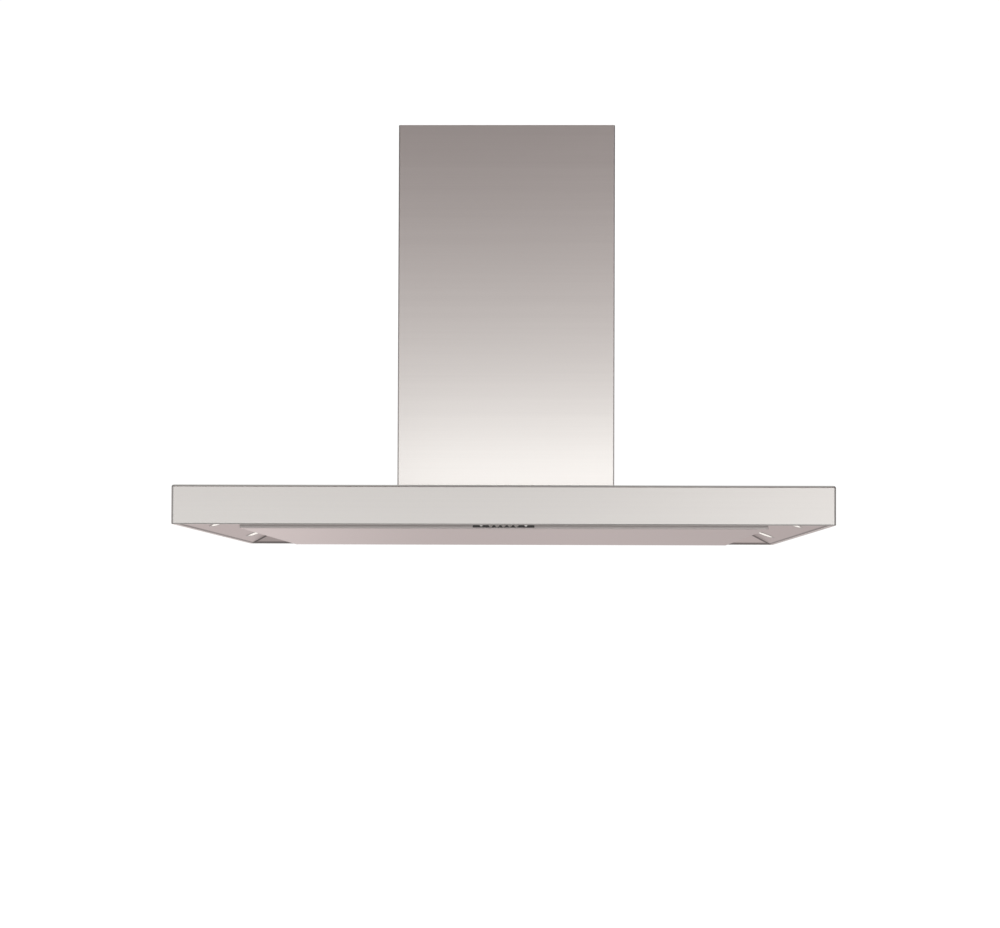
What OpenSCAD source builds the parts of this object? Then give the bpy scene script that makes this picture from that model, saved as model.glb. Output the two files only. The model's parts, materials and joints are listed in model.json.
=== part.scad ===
// Island range hood: a flat box canopy under a rectangular telescopic chimney.
// Units are millimetres, +Z is up and -Y is the front, where the buttons are.
// The origin is the centre of the ceiling plate's top face, so the hood hangs
// below z = 0 and its lower rim lies at z = -hood_h.

/* [Overall] */
// Height from the ceiling down to the canopy's lower rim
hood_h = 790; // [780:1:820]
// Thickness of the canopy's sheet
canopy_sheet = 1.2; // [1:0.1:1.4]

/* [Canopy] */
// Width of the canopy
canopy_w = 1200; // [1196:1:1240]
// Depth of the canopy, front to rear
canopy_d = 650; // [648:1:670]
// Height of the canopy
canopy_h = 72; // [72:1:82]
// Radius of the canopy's upright corners
canopy_corner_r = 5; // [3:0.5:8]
// Width of the return flange around the lower rim
rim_lip = 8; // [7:0.5:9]

/* [Chimney] */
// Width of the lower, outer chimney
chimney_w = 420; // [420:1:440]
// Depth of the lower, outer chimney
chimney_d = 300; // [300:1:310]
// Thickness of the chimney's sheet
chimney_sheet = 1; // [0.8:0.1:1]
// Clearance between the inner and the outer chimney
chimney_gap = 2; // [2:0.5:3]
// Height of the upper, inner chimney
upper_chimney_h = 400; // [360:10:420]
// How far the canopy can be lowered from its highest setting
height_travel = 300; // [200:10:300]

/* [Ceiling frame] */
// Spacing of the ceiling bolts along the width
bolt_spacing_x = 320; // [300:5:330]
// Spacing of the ceiling bolts along the depth
bolt_spacing_y = 200; // [190:5:210]
// Diameter of the ceiling bolt holes
bolt_hole_d = 9; // [7:0.5:10]
// Diameter of the duct hole in the ceiling plate
ceiling_hole_d = 160; // [155:1:165]
// Length of the upper angle posts
upper_post_h = 600; // [590:5:600]
// Length of the lower angle posts
lower_post_h = 480; // [470:5:490]
// Leg width of the upper angle posts
post_leg = 30; // [28:1:32]

/* [Inner tray] */
// Plan length of the side and rear inclines
tray_run = 110; // [105:1:112]
// Plan length of the front incline
tray_front_run = 42; // [40:1:44]
// Height that the inclines rise to
tray_rise = 42; // [41:0.5:43]

/* [Grease filters] */
// Distance between the centres of two filters
filter_pitch = 300; // [296:1:302]
// Depth of one filter, front to rear
filter_d = 400; // [396:1:402]
// Thickness of one filter
filter_h = 12; // [11:0.5:12.5]

/* [Filter cover] */
// Width of the cover and of the control rail
cover_w = 970; // [960:1:975]
// Height of the cover's folded edges
cover_h = 12; // [11:0.5:12]
// How far the cover hangs below the canopy's rim
cover_drop = 4.2; // [3.8:0.1:4.4]
// Distance of each cover hinge from the middle
hinge_x = 350; // [300:5:400]

/* [Control rail] */
// Depth of the control rail, front to rear
rail_d = 19; // [18.6:0.1:19.4]
// Height of the control rail
rail_h = 18; // [17:0.5:18.5]
// Width of the dark control fascia
fascia_w = 113; // [110:1:120]
// Diameter of a push button
button_d = 8; // [7.4:0.1:8]
// Distance between two push buttons
button_pitch = 11.75; // [11:0.25:12.5]
// How far a button travels
button_travel = 1.5; // [1:0.1:1.6]
// Distance of each indicator light from the middle
indicator_x = 41; // [36:1:45]

/* [Lamps] */
// Distance of the lamps from the middle along the width
lamp_x = 556; // [552:1:560]
// Place of the front lamps along the depth
lamp_y_front = -140; // [-180:5:-120]
// Place of the rear lamps along the depth
lamp_y_rear = 180; // [140:5:190]
// Diameter of a lamp's glass
lens_d = 32; // [30:1:35]

/* [Blower] */
// Diameter of the impeller
impeller_d = 160; // [156:1:162]
// Length of the impeller along its axis
impeller_w = 140; // [136:1:141]
// Number of impeller blades
blade_count = 32; // [24:1:36]
// Height of the fan box on the canopy
fan_box_h = 248; // [246:1:252]
// Diameter of the motor
motor_d = 84; // [78:1:86]

/* [Outlet] */
// Outer diameter of the duct collar
duct_d = 150; // [148:1:151]
// Height of the duct collar
collar_h = 60; // [58:1:66]

/* [Hidden] */
$fn = 64;

STEEL = [0.80, 0.79, 0.77];
ZINC = [0.66, 0.67, 0.68];
ALUMINIUM = [0.75, 0.76, 0.77];
DARK = [0.10, 0.10, 0.11];
GREY_PLASTIC = [0.42, 0.43, 0.44];
BLACK_PLASTIC = [0.13, 0.13, 0.14];
GLASS = [0.97, 0.96, 0.92];
COPPER = [0.72, 0.45, 0.25];
BOARD = [0.10, 0.35, 0.20];

eps = 0.5;                                   // overshoot of a cut

// Heights
rim_z = -hood_h;
canopy_top = rim_z + canopy_h;
canopy_ceiling = canopy_top - canopy_sheet;  // inside face of the canopy's top
foot_z = rim_z + canopy_sheet;               // where the tray's inclines start
tray_under = foot_z + tray_rise;             // underside of the tray's flat part
tray_sheet = 1;
tray_top = tray_under + tray_sheet;
panel_z = rim_z - cover_drop;                // underside of the cover and the rail

// Plan limits of the canopy's inside and of its rim opening
inside_x = canopy_w / 2 - canopy_sheet;
inside_y = canopy_d / 2 - canopy_sheet;
lip_x = canopy_w / 2 - rim_lip;
lip_y = canopy_d / 2 - rim_lip;
incline_angle = atan(tray_rise / tray_run);
air_x = 165;                                 // half size of the canopy's air opening
air_y = 105;

// Ceiling plate and the two chimneys
plate_t = 3;
ceiling_gap = 1;
upper_x = chimney_w / 2 - chimney_sheet - chimney_gap;
upper_y = chimney_d / 2 - chimney_sheet - chimney_gap;
plate_x = upper_x - chimney_sheet - 0.5;
plate_y = upper_y - chimney_sheet - 0.5;
tab_half = 60;                               // half length of the plate's folded tabs
tab_h = 28;
tab_screw_y = 40;
tab_screw_z = -16;
seam = 0.25;                                 // half the gap between two chimney halves
seam_strip = 10;
base_flange = 12;
base_screw_x = 120;
base_screw_y = 70;

// Angle posts of the telescopic frame
post_x = 190;
post_y = 130;
post_t = 2;
post_gap = 0.5;                              // play between upper and lower posts
low_x = post_x - post_t - post_gap;
low_y = post_y - post_t - post_gap;
low_leg = post_leg - 2;
slot_x = post_x - post_leg / 2;
slot_w = 6.6;
ring_t = 2;
lock_z = canopy_top + ring_t + lower_post_h - 24;
brace_h = 20;
wire_x = 180;                                // where the wiring passes the base ring
wire_hole_d = 10;

// Fan box, volute and impeller; the volute's arcs have three centres
fan_x = 172;
fan_y = 112;
fan_top = canopy_top + fan_box_h;
fan_sheet = 1;
volute_r = 90;
volute_step = 7;
volute_wall = 1.5;
volute_half = impeller_w / 2 + 10;           // inside half width of the volute
side_plate = 2;
volute_y = -11;
volute_z = canopy_top + 106;
axis_y = volute_y + volute_step / 2;
axis_z = volute_z + volute_step / 2;
outlet_y1 = volute_y + volute_step + volute_r + 2 * volute_step;
inlet_r = impeller_d / 2 - 20;
shaft_r = 4;
shaft_play = 0.05;
motor_x0 = -66;
motor_x1 = -8;
bracket_x = -87;
bush_r = 71;
bush_angles = [90, 210, 330];

// Outlet plenum, collar and damper
plenum_h = 34;
plenum_x = 86;
plenum_y0 = -80;
plenum_y1 = 104;
collar_z = fan_top + plenum_h;
collar_wall = 3;
flap_z = collar_z + 31;
flap_t = 1.5;
flap_r = duct_d / 2 - collar_wall - 1;
pin_r = 2.5;
pin_end = duct_d / 2 - 5;
pin_boss_r = 4.2;
pin_boss_x = pin_end - 4;
knuckle_r = 4.5;
knuckles = [[-60, -36], [-30, -6], [6, 30], [36, 60]];

// Electronics on top of the fan box
ebox_x0 = 92;
ebox_x1 = 170;
ebox_y = 100;
ebox_h = 64;
gland_x = 130;
gland_y = 60;
gland_bore_d = 8;
gland_body_r = 8;
gland_nut_r = 12;
gland_nut_h = 5;
gland_cap_h = 16;
board_z = fan_top + 4;
board_t = 1.6;
board_edge = 4;
capacitor_r = 15;

// Filters, latches and their rails
filter_w = filter_pitch - 1;
filter_y0 = -228;
filter_y1 = filter_y0 + filter_d;
filter_z = tray_under - filter_h;
filter_overlap = 6;
ledge_t = 1.5;
latch_half = 20;
latch_h = 3;
latch_travel = 4;
latch_pocket_h = 4;

// Cover and its hinges
rail_front = -281;
rail_rear = rail_front + rail_d;
cover_front = rail_rear + 1.5;
cover_rear = 275;
cover_sheet = 1;
cover_x = cover_w / 2;
hinge_y = cover_rear - 5;
hinge_z = panel_z + 7.2;
hinge_pin_r = 2;
hinge_play = 0.05;
hinge_r = 3.5;
hinge_half = 30;
bracket_half = 10;
magnet_x = 300;
magnet_gap = 0.3;
magnet_half = 15;
magnet_h = 12;
magnet_post_half = 6;
striker_half = 20;
striker_t = 1.2;

// Control rail
fascia_depth = 8;
fascia_z = panel_z + 2.3;
fascia_h = 11.5;
rail_wall = 1.2;
button_count = 5;
button_z = panel_z + 6.9;
button_play = 0.1;
button_proud = 1.2;
button_end = rail_front + 9.4;
indicator_d = 5.6;
indicator_z = button_z;
switch_y = button_end + button_travel + 0.1;

// Lamps
bezel_d = lens_d + 12;
bezel_lip = 1.2;
lamp_can_h = 26;
transformer_x = -516;
transformer_w = 58;
transformer_d = 100;
transformer_h = 24;

// ---------------------------------------------------------------- helpers

module box(x0, x1, y0, y1, z0, z1) {
    translate([x0, y0, z0]) cube([x1 - x0, y1 - y0, z1 - z0]);
}

module both_x() {
    children();
    mirror([1, 0, 0]) children();
}

module both_y() {
    children();
    mirror([0, 1, 0]) children();
}

module four() {
    both_x() both_y() children();
}

module rounded_rect(w, d, r) {
    square([w - 2 * r, d], center = true);
    square([w, d - 2 * r], center = true);
    for (x = [-1, 1], y = [-1, 1])
        translate([x * (w / 2 - r), y * (d / 2 - r)]) circle(r);
}

// A cylinder along X from x0 to x1
module rod_x(r, x0, x1, y = 0, z = 0) {
    translate([x0, y, z]) rotate([0, 90, 0]) cylinder(r = r, h = x1 - x0);
}

// A cylinder along Y from y0 to y1
module rod_y(r, x, y0, y1, z) {
    translate([x, y0, z]) rotate([-90, 0, 0]) cylinder(r = r, h = y1 - y0);
}

module rod_z(r, x, y, z0, z1) {
    translate([x, y, z0]) cylinder(r = r, h = z1 - z0);
}

// An upright angle with its outer corner at (x, y) and its legs turned inwards
module angle_post(x, y, leg, z0, z1) {
    difference() {
        box(x - leg, x, y - leg, y, z0, z1);
        box(x - leg - eps, x - post_t, y - leg - eps, y - post_t, z0 - eps, z1 + eps);
    }
}

// A wire from one point to the next
module wire(points, r) {
    for (i = [0 : len(points) - 2]) {
        a = points[i];
        d = points[i + 1] - a;
        translate(a)
            rotate([0, acos(d[2] / norm(d)), atan2(d[1], d[0])])
                cylinder(r = r, h = norm(d), $fn = 16);
    }
    for (i = [1 : 1 : len(points) - 2]) translate(points[i]) sphere(r, $fn = 16);
}

// ---------------------------------------------------------- ceiling frame

// Steel plate that bolts to the ceiling, with two folded tabs for the chimney
module ceiling_plate() color(ZINC) difference() {
    union() {
        box(-plate_x, plate_x, -plate_y, plate_y, -plate_t, 0);
        both_x() box(plate_x - plate_t, plate_x, -tab_half, tab_half, -tab_h, -1);
    }
    rod_z(ceiling_hole_d / 2, 0, 0, -plate_t - eps, eps);
    for (x = [-1, 1], y = [-1, 1])
        rod_z(bolt_hole_d / 2, x * bolt_spacing_x / 2, y * bolt_spacing_y / 2,
            -plate_t - eps, eps);
    four() rod_x(2, plate_x - plate_t - eps, plate_x + eps, tab_screw_y, tab_screw_z);
}

module upper_frame_posts() color(ZINC) four() difference() {
    angle_post(post_x, post_y, post_leg, -plate_t - upper_post_h, -plate_t);
    lock_slot();
}

// The long slot in an upper post, in which a lock screw travels
module lock_slot() {
    low = lock_z - height_travel - 5;
    high = lock_z + 5;
    box(slot_x - slot_w / 2, slot_x + slot_w / 2, post_y - 5, post_y + 1, low, high);
    for (z = [low, high]) rod_y(slot_w / 2, slot_x, post_y - 5, post_y + 1, z);
}

module upper_frame_braces() color(ZINC) {
    low = -plate_t - upper_post_h;
    both_y() box(-post_x, post_x, post_y, post_y + post_t, low, low + brace_h);
    for (z = [low, low / 2])
        both_x() box(post_x, post_x + post_t, -post_y, post_y, z, z + brace_h);
}

// Half of a chimney: a channel of sheet, open towards +Y
module chimney_half(x, y, z0, z1) {
    difference() {
        box(-x, x, -y, -seam, z0, z1);
        box(-x + chimney_sheet, x - chimney_sheet, -y + chimney_sheet, eps,
            z0 - eps, z1 + eps);
    }
}

// Inner strip that bridges the seam between two chimney halves
module seam_strips(x, z0, z1) {
    both_x() box(x - 2 * chimney_sheet, x - chimney_sheet, -seam_strip, seam_strip,
        z0, z1);
}

module upper_screw_holes() {
    four() rod_x(2.1, upper_x - 2, upper_x + 1, tab_screw_y, tab_screw_z);
}

module upper_chimney_front() color(STEEL) difference() {
    union() {
        chimney_half(upper_x, upper_y, -upper_chimney_h, -ceiling_gap);
        seam_strips(upper_x, -upper_chimney_h, -tab_h - 12);
    }
    upper_screw_holes();
}

module upper_chimney_rear() color(STEEL) difference() {
    mirror([0, 1, 0]) chimney_half(upper_x, upper_y, -upper_chimney_h, -ceiling_gap);
    upper_screw_holes();
}

// Flat-headed screws that hold the upper chimney to the ceiling plate's tabs
module upper_chimney_screws() color(ZINC) four() {
    rod_x(1.95, plate_x - plate_t - 3, upper_x, tab_screw_y, tab_screw_z);
    rod_x(4, upper_x, upper_x + 1, tab_screw_y, tab_screw_z);
}

// ------------------------------------------------- lower frame and chimney

module lower_frame_posts() color(ZINC) {
    z0 = canopy_top + ring_t;
    four() difference() {
        angle_post(low_x, low_y, low_leg, z0, z0 + lower_post_h);
        rod_y(3, slot_x, low_y - 5, low_y + 1, lock_z);
    }
}

// Base ring on the canopy and a ring of flat bar near the posts' upper ends
module lower_frame_braces() color(ZINC) {
    difference() {
        box(-low_x, low_x, -low_y, low_y, canopy_top, canopy_top + ring_t);
        box(-fan_x - 0.5, fan_x + 0.5, -fan_y - 0.5, fan_y + 0.5,
            canopy_top - eps, canopy_top + ring_t + eps);
        both_x() rod_z(wire_hole_d / 2, wire_x, 0, canopy_top - eps, canopy_top + 3);
    }
    z1 = canopy_top + ring_t + lower_post_h - 2;
    x = low_x - post_t;
    y = low_y - post_t;
    difference() {
        box(-x, x, -y, y, z1 - 14, z1);
        box(-x + 2, x - 2, -y + 2, y - 2, z1 - 15, z1 + 1);
    }
}

// Hexagon screws and washers that clamp the lower posts to the slotted ones
module rail_lock_screws() color(ZINC) four() {
    rod_y(2.95, slot_x, low_y - 8, post_y + 0.2, lock_z);
    rod_y(7, slot_x, post_y + 0.1, post_y + 1.3, lock_z);
    translate([slot_x, post_y + 1.3, lock_z]) rotate([-90, 0, 0])
        cylinder(r = 5.7, h = 3.6, $fn = 6);
    translate([slot_x, low_y - 7, lock_z]) rotate([-90, 0, 0]) difference() {
        cylinder(r = 5.7, h = 5, $fn = 6);
        translate([0, 0, -eps]) cylinder(r = 2.95, h = 6);
    }
}

module lower_chimney_half() {
    z0 = canopy_top;
    x = chimney_w / 2 - chimney_sheet;
    y = chimney_d / 2 - chimney_sheet;
    difference() {
        union() {
            chimney_half(chimney_w / 2, chimney_d / 2, z0, -ceiling_gap);
            box(-x, x, -y, -y + base_flange, z0, z0 + chimney_sheet);
            both_x() box(x - base_flange, x, -y, -seam_strip - 1, z0,
                z0 + chimney_sheet);
        }
        base_screw_holes();
    }
}

// Places of the screws between the lower chimney's flange and the canopy
module at_base_screws() {
    edge = chimney_sheet + base_flange / 2;
    four() {
        translate([base_screw_x, chimney_d / 2 - edge, canopy_top]) children();
        translate([chimney_w / 2 - edge, base_screw_y, canopy_top]) children();
    }
}

module base_screw_holes() {
    at_base_screws() translate([0, 0, -5]) cylinder(r = 2.05, h = 10);
}

module lower_chimney_front() color(STEEL) {
    lower_chimney_half();
    seam_strips(chimney_w / 2, canopy_top, -ceiling_gap);
}

module lower_chimney_rear() color(STEEL) mirror([0, 1, 0]) lower_chimney_half();

module chimney_base_screws() color(ZINC) at_base_screws() {
    translate([0, 0, -6]) cylinder(r = 1.95, h = 7);
    translate([0, 0, 1]) cylinder(r = 4, h = 2.4);
}

// ----------------------------------------------------------------- canopy

// Box of brushed sheet, open below, with a narrow return around its rim
module canopy_shell() color(STEEL) difference() {
    translate([0, 0, rim_z]) linear_extrude(canopy_h)
        rounded_rect(canopy_w, canopy_d, canopy_corner_r);
    translate([0, 0, foot_z]) linear_extrude(canopy_h - 2 * canopy_sheet)
        rounded_rect(2 * inside_x, 2 * inside_y, canopy_corner_r - canopy_sheet);
    box(-lip_x, lip_x, -lip_y, lip_y, rim_z - eps, foot_z + eps);
    box(-air_x, air_x, -air_y, air_y, canopy_ceiling - eps, canopy_top + eps);
    both_x() rod_z(wire_hole_d / 2, wire_x, 0, canopy_ceiling - eps, canopy_top + eps);
    base_screw_holes();
}

// The space under the tray: four inclines that rise from z to a flat top
module tray_form(z) {
    intersection() {
        rotate([90, 0, 0]) linear_extrude(2 * canopy_d, center = true) polygon([
            [-lip_x, z], [lip_x, z],
            [lip_x - tray_run, z + tray_rise], [-lip_x + tray_run, z + tray_rise]
        ]);
        rotate([90, 0, 90]) linear_extrude(2 * canopy_w, center = true) polygon([
            [-lip_y, z], [lip_y, z],
            [lip_y - tray_run, z + tray_rise],
            [-lip_y + tray_front_run, z + tray_rise]
        ]);
    }
}

// Inverted tray with sloping margins, which carries the lamps and the filters
module inner_tray() color(STEEL) difference() {
    union() {
        translate([0, 0, foot_z]) linear_extrude(tray_sheet)
            rounded_rect(2 * inside_x - 1, 2 * inside_y - 1, canopy_corner_r);
        tray_form(foot_z + tray_sheet);
    }
    tray_form(foot_z);
    box(-lip_x, lip_x, -lip_y, lip_y, foot_z - eps, foot_z);
    filter_window();
    at_lamps() translate([0, 0, -4]) cylinder(r = lens_d / 2 + 1.5, h = 9);
    rod_z(4, board_wire[0], board_wire[1], tray_under - eps, tray_top + eps);
}

module filter_window() {
    x = 1.5 * filter_pitch - filter_overlap;
    box(-x, x, filter_y0 + filter_overlap, filter_y1 - filter_overlap,
        tray_under - eps, tray_top + eps);
}

// Front rail with slots for the latches and rear rail with a ledge
module filter_rails() color(STEEL) {
    x = 1.5 * filter_pitch + 2;
    low = filter_z - ledge_t;
    difference() {
        box(-x, x, filter_y0 - 3, filter_y0 - 1.5, low, tray_under);
        for (i = [-1, 0, 1])
            box(i * filter_pitch - latch_half - 1, i * filter_pitch + latch_half + 1,
                filter_y0 - 4, filter_y0, filter_z - eps, filter_z + latch_pocket_h);
    }
    box(-x, x, filter_y1 + 1, filter_y1 + 2.5, low, tray_under);
    box(-x, x, filter_y1 - 8, filter_y1 + 1, low, filter_z);
}

// Framed filter; its underside has a pocket for the latch
module grease_filter(i) color(ALUMINIUM) {
    x = i * filter_pitch;
    half = filter_w / 2;
    border = 12;
    difference() {
        box(x - half, x + half, filter_y0, filter_y1, filter_z, tray_under);
        for (z = [filter_z - eps, tray_under - 1.5])
            difference() {
                box(x - half + border, x + half - border, filter_y0 + border,
                    filter_y1 - border, z, z + 1.5 + eps);
                box(x - latch_half - 8, x + latch_half + 8, filter_y0, filter_y0 + 40,
                    z - 1, z + 4);
            }
        box(x - latch_half - 2, x + latch_half + 2, filter_y0 - eps, filter_y0 + 23,
            filter_z - eps, filter_z + latch_pocket_h);
    }
}

module grease_filter_left() grease_filter(-1);
module grease_filter_centre() grease_filter(0);
module grease_filter_right() grease_filter(1);

// Sprung bolt with a thumb tab; it slides to the rear to free the filter
module filter_latch(i) color(BLACK_PLASTIC) {
    x = i * filter_pitch;
    z = filter_z + 0.5;
    box(x - latch_half, x + latch_half, filter_y0 - 4.5, filter_y0 + 18, z, z + latch_h);
    box(x - 15, x + 15, filter_y0 + 14, filter_y0 + 17, z - 5, z + eps);
}

module filter_latch_left() filter_latch(-1);
module filter_latch_centre() filter_latch(0);
module filter_latch_right() filter_latch(1);

// ----------------------------------------------------------- control rail

// Channel across the canopy, hung from the tray by tabs, open above
module control_rail() color(STEEL) {
    top = panel_z + rail_h;
    difference() {
        box(-cover_x, cover_x, rail_front, rail_rear, panel_z, top);
        box(-cover_x + rail_wall, cover_x - rail_wall, rail_front + rail_wall,
            rail_rear - rail_wall, panel_z + rail_wall, top + eps);
        box(-fascia_w / 2, fascia_w / 2, rail_front - eps, rail_front + fascia_depth,
            fascia_z, fascia_z + fascia_h);
    }
    for (x = [-440, -150, 150, 440])
        box(x - 10, x + 10, rail_rear - rail_wall, rail_rear, top - 1, tray_under);
}

// Dark moulding that fills the middle of the rail and guides the buttons
module control_fascia() color(DARK) difference() {
    box(-fascia_w / 2, fascia_w / 2, rail_front, rail_front + fascia_depth,
        fascia_z, fascia_z + fascia_h);
    for (i = [1 : button_count])
        rod_y(button_d / 2 + button_play, button_place(i), rail_front - eps,
            rail_front + fascia_depth + eps, button_z);
    both_x() rod_y(indicator_d / 2, indicator_x, rail_front - eps,
        rail_front + fascia_depth + eps, indicator_z);
}

function button_place(i) = (i - (button_count + 1) / 2) * button_pitch;

module push_button(i) color(ALUMINIUM) {
    x = button_place(i);
    r = button_d / 2;
    guide = button_proud + fascia_depth - button_travel - 0.2;
    stem = button_proud + button_end - rail_front;
    translate([x, rail_front - button_proud, button_z]) rotate([-90, 0, 0])
        rotate_extrude() polygon([
            [0, 0], [r - 0.6, 0], [r, 0.6], [r, guide], [2, guide], [2, stem], [0, stem]
        ]);
}

module button_1() push_button(1);
module button_2() push_button(2);
module button_3() push_button(3);
module button_4() push_button(4);
module button_5() push_button(5);

module indicator_lights() color(GLASS) both_x()
    rod_y(indicator_d / 2, indicator_x, rail_front - 0.2, rail_front + fascia_depth + 1,
        indicator_z);

// Circuit board on edge behind the fascia, with one switch behind each button
module control_board() color(BOARD) {
    y0 = rail_rear - rail_wall - 3.2;
    low = panel_z + rail_wall + 0.4;
    box(-fascia_w / 2 + 2, fascia_w / 2 - 2, y0, y0 + 1.6, low, low + 13);
    for (i = [1 : button_count])
        box(button_place(i) - 3, button_place(i) + 3, switch_y, y0, button_z - 3,
            button_z + 3);
}

// ----------------------------------------------------------- filter cover

// Folded panel under the filters, cut back at its rear edge for the hinges
module filter_cover() color(STEEL) difference() {
    box(-cover_x, cover_x, cover_front, cover_rear, panel_z, panel_z + cover_h);
    box(-cover_x + cover_sheet, cover_x - cover_sheet, cover_front + cover_sheet,
        cover_rear - cover_sheet, panel_z + cover_sheet, panel_z + cover_h + eps);
    both_x() box(hinge_x - bracket_half - 5, hinge_x + bracket_half + 5,
        cover_rear - cover_sheet - eps, cover_rear + eps,
        panel_z + cover_sheet, panel_z + cover_h + eps);
}

module cover_hinge_leaves() color(ZINC) both_x() difference() {
    union() {
        box(hinge_x - hinge_half, hinge_x + hinge_half, hinge_y - 30, hinge_y + 1,
            panel_z + cover_sheet, panel_z + cover_sheet + 1.5);
        for (side = [-1, 1]) leaf_knuckle(hinge_x + side * (hinge_half + bracket_half + 1) / 2,
            (hinge_half - bracket_half - 1) / 2);
    }
    rod_x(hinge_pin_r + hinge_play, hinge_x - 40, hinge_x + 40, hinge_y, hinge_z);
}

module leaf_knuckle(x, half) {
    rod_x(hinge_r, x - half, x + half, hinge_y, hinge_z);
    box(x - half, x + half, hinge_y - 3, hinge_y + 1, panel_z + cover_sheet, hinge_z);
}

// Steel plates on the cover, which the magnets hold
module cover_strikers() color(ZINC) {
    top = panel_z + cover_h;
    rear = cover_front + 20;
    both_x() {
        box(magnet_x - striker_half, magnet_x + striker_half, cover_front + 2.5, rear,
            top - striker_t, top);
        box(magnet_x - striker_half, magnet_x + striker_half, rear - striker_t, rear,
            panel_z + cover_sheet, top);
    }
}

// Brackets under the tray's rear incline, each with one fixed knuckle
module cover_hinge_brackets() color(ZINC) both_x() difference() {
    union() {
        rod_x(hinge_r, hinge_x - bracket_half, hinge_x + bracket_half, hinge_y, hinge_z);
        intersection() {
            union() {
                box(hinge_x - bracket_half, hinge_x + bracket_half, hinge_y - 1,
                    hinge_y + 1, hinge_z, tray_under);
                translate([hinge_x - 15, hinge_y, incline_z(hinge_y)])
                    rotate([-incline_angle, 0, 0])
                        translate([0, -18, -1.5]) cube([30, 30, 3]);
            }
            tray_form(foot_z);
        }
    }
    rod_x(hinge_pin_r, hinge_x - 40, hinge_x + 40, hinge_y, hinge_z);
}

// Underside of the rear incline at depth y
function incline_z(y) = foot_z + (lip_y - y) * tray_rise / tray_run;

module cover_hinge_pins() color(ZINC) both_x()
    rod_x(hinge_pin_r, hinge_x - hinge_half - 1, hinge_x + hinge_half + 1,
        hinge_y, hinge_z);

module cover_magnets() color(BLACK_PLASTIC) both_x() {
    z0 = panel_z + cover_h + magnet_gap;
    box(magnet_x - magnet_half, magnet_x + magnet_half, cover_front + 3.5,
        cover_front + 17.5, z0, z0 + magnet_h);
    box(magnet_x - magnet_post_half, magnet_x + magnet_post_half, cover_front + 7,
        cover_front + 15, z0 + magnet_h - eps, tray_under);
}

// ------------------------------------------------------------------ lamps

// Frame of each lamp: +Z points away from the room, square to the incline
module at_lamps() {
    z = foot_z + (lip_x - lamp_x) * tray_rise / tray_run;
    for (side = [-1, 1], y = [lamp_y_front, lamp_y_rear])
        translate([side * lamp_x, y, z]) rotate([0, side * incline_angle, 0])
            children();
}

module lamp_bezels() color(STEEL) at_lamps() rotate_extrude() polygon([
    [lens_d / 2, -bezel_lip], [bezel_d / 2 - 1, -bezel_lip], [bezel_d / 2, -0.05],
    [lens_d / 2 + 1.3, -0.05], [lens_d / 2 + 1.3, 6], [lens_d / 2, 6]
]);

module lamp_lenses() color(GLASS) at_lamps()
    translate([0, 0, -0.8]) cylinder(d = lens_d, h = 3);

module lamp_housings() color(ALUMINIUM) at_lamps() rotate_extrude() polygon([
    [lens_d / 2 + 1.6, 1.2], [lens_d / 2 + 6, 1.2], [lens_d / 2 + 6, 2.4],
    [lens_d / 2 + 3, 2.4], [lens_d / 2 + 3, lamp_can_h], [0, lamp_can_h],
    [0, lamp_can_h - 1.4], [lens_d / 2 + 1.6, lamp_can_h - 1.4]
]);

// Transformer under the canopy's top, with a fixing lug at each end
module lamp_transformer() color(GREY_PLASTIC) {
    x0 = transformer_x - transformer_w / 2;
    end = transformer_d / 2;
    box(x0, x0 + transformer_w, -end, end, canopy_ceiling - transformer_h,
        canopy_ceiling);
    both_y() box(x0 + 15, x0 + transformer_w - 15, end, end + 8, canopy_ceiling - 3,
        canopy_ceiling);
}

// ----------------------------------------------------------------- blower

module fan_box() color(ZINC) difference() {
    box(-fan_x, fan_x, -fan_y, fan_y, canopy_top, fan_top);
    box(-fan_x + fan_sheet, fan_x - fan_sheet, -fan_y + fan_sheet, fan_y - fan_sheet,
        canopy_top - eps, fan_top - fan_sheet);
    box(-volute_half - side_plate - 0.3, volute_half + side_plate + 0.3,
        volute_y - volute_wall - 0.3, outlet_y1 + volute_wall + 0.3,
        fan_top - fan_sheet - eps, fan_top + eps);
}

// Outline of the volute in the YZ plane, grown outwards by g, up to height top
module volute_outline(g, top) {
    r = volute_r + g;
    s = volute_step;
    a = [volute_y, volute_z];
    b = a + [s, 0];
    c = b + [0, s];
    intersection() {
        translate(a) circle(r, $fn = 96);
        translate(a + [-r, 0]) square(r);
    }
    intersection() {
        translate(b) circle(r + s, $fn = 96);
        translate(b - [r + s, r + s]) square(r + s);
    }
    intersection() {
        translate(c) circle(r + 2 * s, $fn = 96);
        translate(c + [0, -r - 2 * s]) square(r + 2 * s);
    }
    translate(a) square(s);
    translate([a[0] - g, c[1]]) square([outlet_y1 - a[0] + 2 * g, top - c[1]]);
}

// One half of the plastic volute, from its side plate to the middle
module scroll_half() {
    flange = 6;
    difference() {
        union() {
            rotate([90, 0, 90]) linear_extrude(volute_half + side_plate)
                volute_outline(volute_wall, fan_top);
            box(0, volute_half + flange, volute_y - flange, outlet_y1 + flange,
                fan_top - fan_sheet - 3, fan_top - fan_sheet);
        }
        translate([-eps, 0, 0]) rotate([90, 0, 90])
            linear_extrude(volute_half + eps) volute_outline(0, fan_top + eps);
        rod_x(inlet_r + 2, volute_half - eps, volute_half + 3, axis_y, axis_z);
    }
    difference() {
        rod_x(inlet_r + 2, impeller_w / 2 + 1.5, volute_half + side_plate, axis_y, axis_z);
        rod_x(inlet_r, impeller_w / 2, volute_half + 3, axis_y, axis_z);
    }
}

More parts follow.
